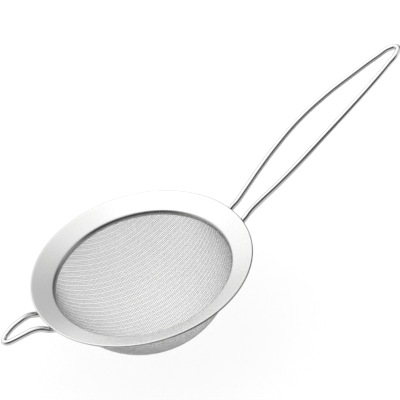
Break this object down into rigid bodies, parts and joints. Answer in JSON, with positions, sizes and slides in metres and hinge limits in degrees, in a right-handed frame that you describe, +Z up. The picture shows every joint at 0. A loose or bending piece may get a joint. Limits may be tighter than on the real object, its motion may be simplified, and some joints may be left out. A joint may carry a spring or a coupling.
{
  "type": "tea strainer",
  "caption": "Tea strainer: a round woven-wire bowl in a sloping pressed-steel rim, with a long bent-wire loop handle and a short wire rest hook opposite it.",
  "frame": {"origin": "bottom centre of the whole object's box: at the height of the bowl's lowest point, on the plane of symmetry, midway between the tip of the hook and the tip of the handle", "axes": "+Z up, square to the rim's top edge; +X from the hook towards the handle's tip; +Y to the left of the handle. The bowl's axis is parallel to Z and crosses the X axis at x = -0.0388 m"},
  "size_m": [0.218, 0.1, 0.0801],
  "materials": {
    "rim_steel": "satin stainless sheet, finely brushed round the ring",
    "ring_steel": "satin stainless sheet",
    "cloth_steel": "bright stainless wire cloth, plain weave",
    "handle_steel": "polished stainless wire",
    "hook_steel": "polished stainless wire",
    "weld_steel": "dull resistance-weld metal, slightly straw-tinted"
  },
  "bodies": {
    "root": {"rim_flange": "rim_steel", "clamp_ring": "ring_steel", "mesh_bowl": "cloth_steel", "handle_loop": "handle_steel", "rest_hook": "hook_steel", "handle_weld_left": "weld_steel", "handle_weld_right": "weld_steel", "hook_weld_left": "weld_steel", "hook_weld_right": "weld_steel"}
  },
  "joints": []
}
